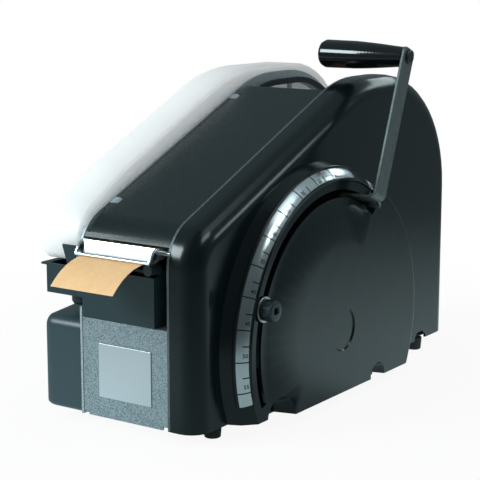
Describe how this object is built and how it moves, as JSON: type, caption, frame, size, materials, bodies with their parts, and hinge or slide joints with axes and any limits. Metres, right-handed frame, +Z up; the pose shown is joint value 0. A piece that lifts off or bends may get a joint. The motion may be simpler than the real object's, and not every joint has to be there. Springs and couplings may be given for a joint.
{
  "type": "gummed tape dispenser",
  "caption": "Hand-operated bench dispenser that measures, wets and cuts gummed paper tape with a swinging side lever and a round scale on its moulded cover.",
  "frame": {"origin": "middle of the machine's footprint, on the floor plane under the feet", "axes": "+X to the machine's right, where the lever is; +Y to its back; +Z up"},
  "size_m": [0.2375, 0.558, 0.3597],
  "materials": {
    "plated_steel": "zinc plated sheet and rod",
    "hammered_paint": "grey hammered enamel",
    "black_moulding": "black moulding, glossy",
    "black_rubber": "black rubber",
    "dark_steel": "blackened steel",
    "gloss_phenolic": "polished black phenolic",
    "bronze": "sintered bronze",
    "kraft_paper": "gummed kraft paper",
    "grey_board": "grey board tube",
    "milky_plastic": "milky translucent plastic",
    "cap_plastic": "black plastic",
    "bristle": "black bristles",
    "satin_chrome": "satin chrome",
    "label_metal": "brushed, bare",
    "scale_strip": "printed strip"
  },
  "bodies": {
    "frame": {"base_plate": "plated_steel", "tie_rod_top": "plated_steel", "tie_rod_rear": "plated_steel", "foot_bracket": "plated_steel", "main_shaft": "plated_steel", "idler_shaft": "plated_steel", "yoke_rod": "plated_steel", "tape_chute": "plated_steel", "fixed_blade": "plated_steel", "blade_post_left": "plated_steel", "blade_post_right": "plated_steel", "pressure_plate_rod": "plated_steel", "lid_hinge_rod": "plated_steel", "front_panel": "hammered_paint", "rear_panel": "hammered_paint", "left_side_plate": "hammered_paint", "right_side_plate": "hammered_paint", "right_cover": "black_moulding", "water_tank": "black_moulding", "splash_guard": "black_moulding", "brush_holder": "black_moulding", "bottle_shelf": "black_moulding", "foot_right_front": "black_rubber", "foot_right_front_inner": "black_rubber", "foot_right_rear_inner": "black_rubber", "foot_right_rear": "black_rubber", "foot_left_front": "black_rubber", "foot_left_rear": "black_rubber", "feed_bush_left": "bronze", "feed_bush_right": "bronze", "tape_strip": "kraft_paper", "front_brush": "bristle", "rear_brush": "bristle", "label_plate": "label_metal", "length_scale": "scale_strip"},
    "lever": {"lever_arm": "hammered_paint", "grip_bolt": "dark_steel", "drive_arm": "dark_steel", "drive_gear": "dark_steel", "return_spring": "plated_steel"},
    "grip": {"lever_grip": "gloss_phenolic"},
    "idler": {"idler_gear": "dark_steel"},
    "feed": {"feed_pinion": "dark_steel", "feed_shaft": "plated_steel", "feed_roller": "black_rubber"},
    "yoke": {"pressure_yoke": "plated_steel"},
    "press_roller": {"pressure_roller": "plated_steel"},
    "roll": {"tape_roll": "kraft_paper", "roll_core": "grey_board"},
    "front_support": {"roll_support_front": "plated_steel"},
    "rear_support": {"roll_support_rear": "plated_steel"},
    "stop": {"stop_block": "dark_steel", "stop_stud": "dark_steel", "stop_washer": "plated_steel"},
    "knob": {"stop_knob": "dark_steel"},
    "lid": {"lid": "black_moulding"},
    "pressure_flap": {"pressure_plate": "satin_chrome"},
    "bottle": {"water_bottle": "milky_plastic", "bottle_cap": "cap_plastic"},
    "cutter": {"moving_blade": "plated_steel"}
  },
  "joints": [
    {"name": "lever_swing", "type": "hinge", "parent": "frame", "child": "lever", "pos_m": [0.074, -0.017, 0.078], "axis": [1, 0, 0], "range_deg": [0, 81], "stiffness_Nm_per_rad": 1, "springref_deg": -22.92},
    {"name": "grip_spin", "type": "hinge", "parent": "lever", "child": "grip", "pos_m": [0.114, 0.08707, 0.34493], "axis": [1, 0, 0], "continuous": true},
    {"name": "idler_spin", "type": "hinge", "parent": "frame", "child": "idler", "pos_m": [0.044, -0.05707, 0.18809], "axis": [1, 0, 0], "range_deg": [-654, 6]},
    {"name": "feed_spin", "type": "hinge", "parent": "frame", "child": "feed", "pos_m": [-0.016, -0.10759, 0.18008], "axis": [1, 0, 0], "range_deg": [-6, 1302]},
    {"name": "yoke_lift", "type": "hinge", "parent": "frame", "child": "yoke", "pos_m": [-0.016, -0.063, 0.2145], "axis": [1, 0, 0], "range_deg": [-12, 0]},
    {"name": "press_spin", "type": "hinge", "parent": "yoke", "child": "press_roller", "pos_m": [-0.016, -0.10759, 0.20708], "axis": [1, 0, 0], "range_deg": [-2079.6, 6]},
    {"name": "roll_spin", "type": "hinge", "parent": "frame", "child": "roll", "pos_m": [-0.016, 0.126, 0.12356], "axis": [1, 0, 0], "range_deg": [-6, 271.8]},
    {"name": "front_support_spin", "type": "hinge", "parent": "frame", "child": "front_support", "pos_m": [-0.016, 0.076, 0.052], "axis": [1, 0, 0], "range_deg": [-2310, 6]},
    {"name": "rear_support_spin", "type": "hinge", "parent": "frame", "child": "rear_support", "pos_m": [-0.016, 0.176, 0.052], "axis": [1, 0, 0], "range_deg": [-2310, 6]},
    {"name": "stop_travel", "type": "hinge", "parent": "frame", "child": "stop", "pos_m": [0.094, -0.017, 0.078], "axis": [1, 0, 0], "range_deg": [0, 30]},
    {"name": "stop_knob_turn", "type": "hinge", "parent": "stop", "child": "knob", "pos_m": [0.0951, -0.14559, 0.12228], "axis": [1, 0, 0], "continuous": true},
    {"name": "lid_hinge", "type": "hinge", "parent": "frame", "child": "lid", "pos_m": [-0.062, -0.21705, 0.19064], "axis": [0, -0.9212, -0.3891], "range_deg": [0, 92]},
    {"name": "pressure_plate_tilt", "type": "hinge", "parent": "frame", "child": "pressure_flap", "pos_m": [-0.016, -0.215, 0.18], "axis": [1, 0, 0], "range_deg": [-14, 0]},
    {"name": "bottle_lift", "type": "slide", "parent": "frame", "child": "bottle", "axis": [0, 0, 1], "range_m": [0, 0.045]},
    {"name": "cutter_stroke", "type": "slide", "parent": "frame", "child": "cutter", "axis": [0, 0, -1], "range_m": [0, 0.008], "stiffness_N_per_m": 60, "springref_m": -0.01, "deforming": ["tape_strip"]}
  ],
  "couplings": [
    {"joint": "idler_spin", "follows": "lever_swing", "ratio": -8},
    {"joint": "feed_spin", "follows": "lever_swing", "ratio": 16},
    {"joint": "press_spin", "follows": "lever_swing", "ratio": -25.6},
    {"joint": "roll_spin", "follows": "lever_swing", "ratio": 3.2821},
    {"joint": "front_support_spin", "follows": "lever_swing", "ratio": -28.444},
    {"joint": "rear_support_spin", "follows": "lever_swing", "ratio": -28.444}
  ]
}
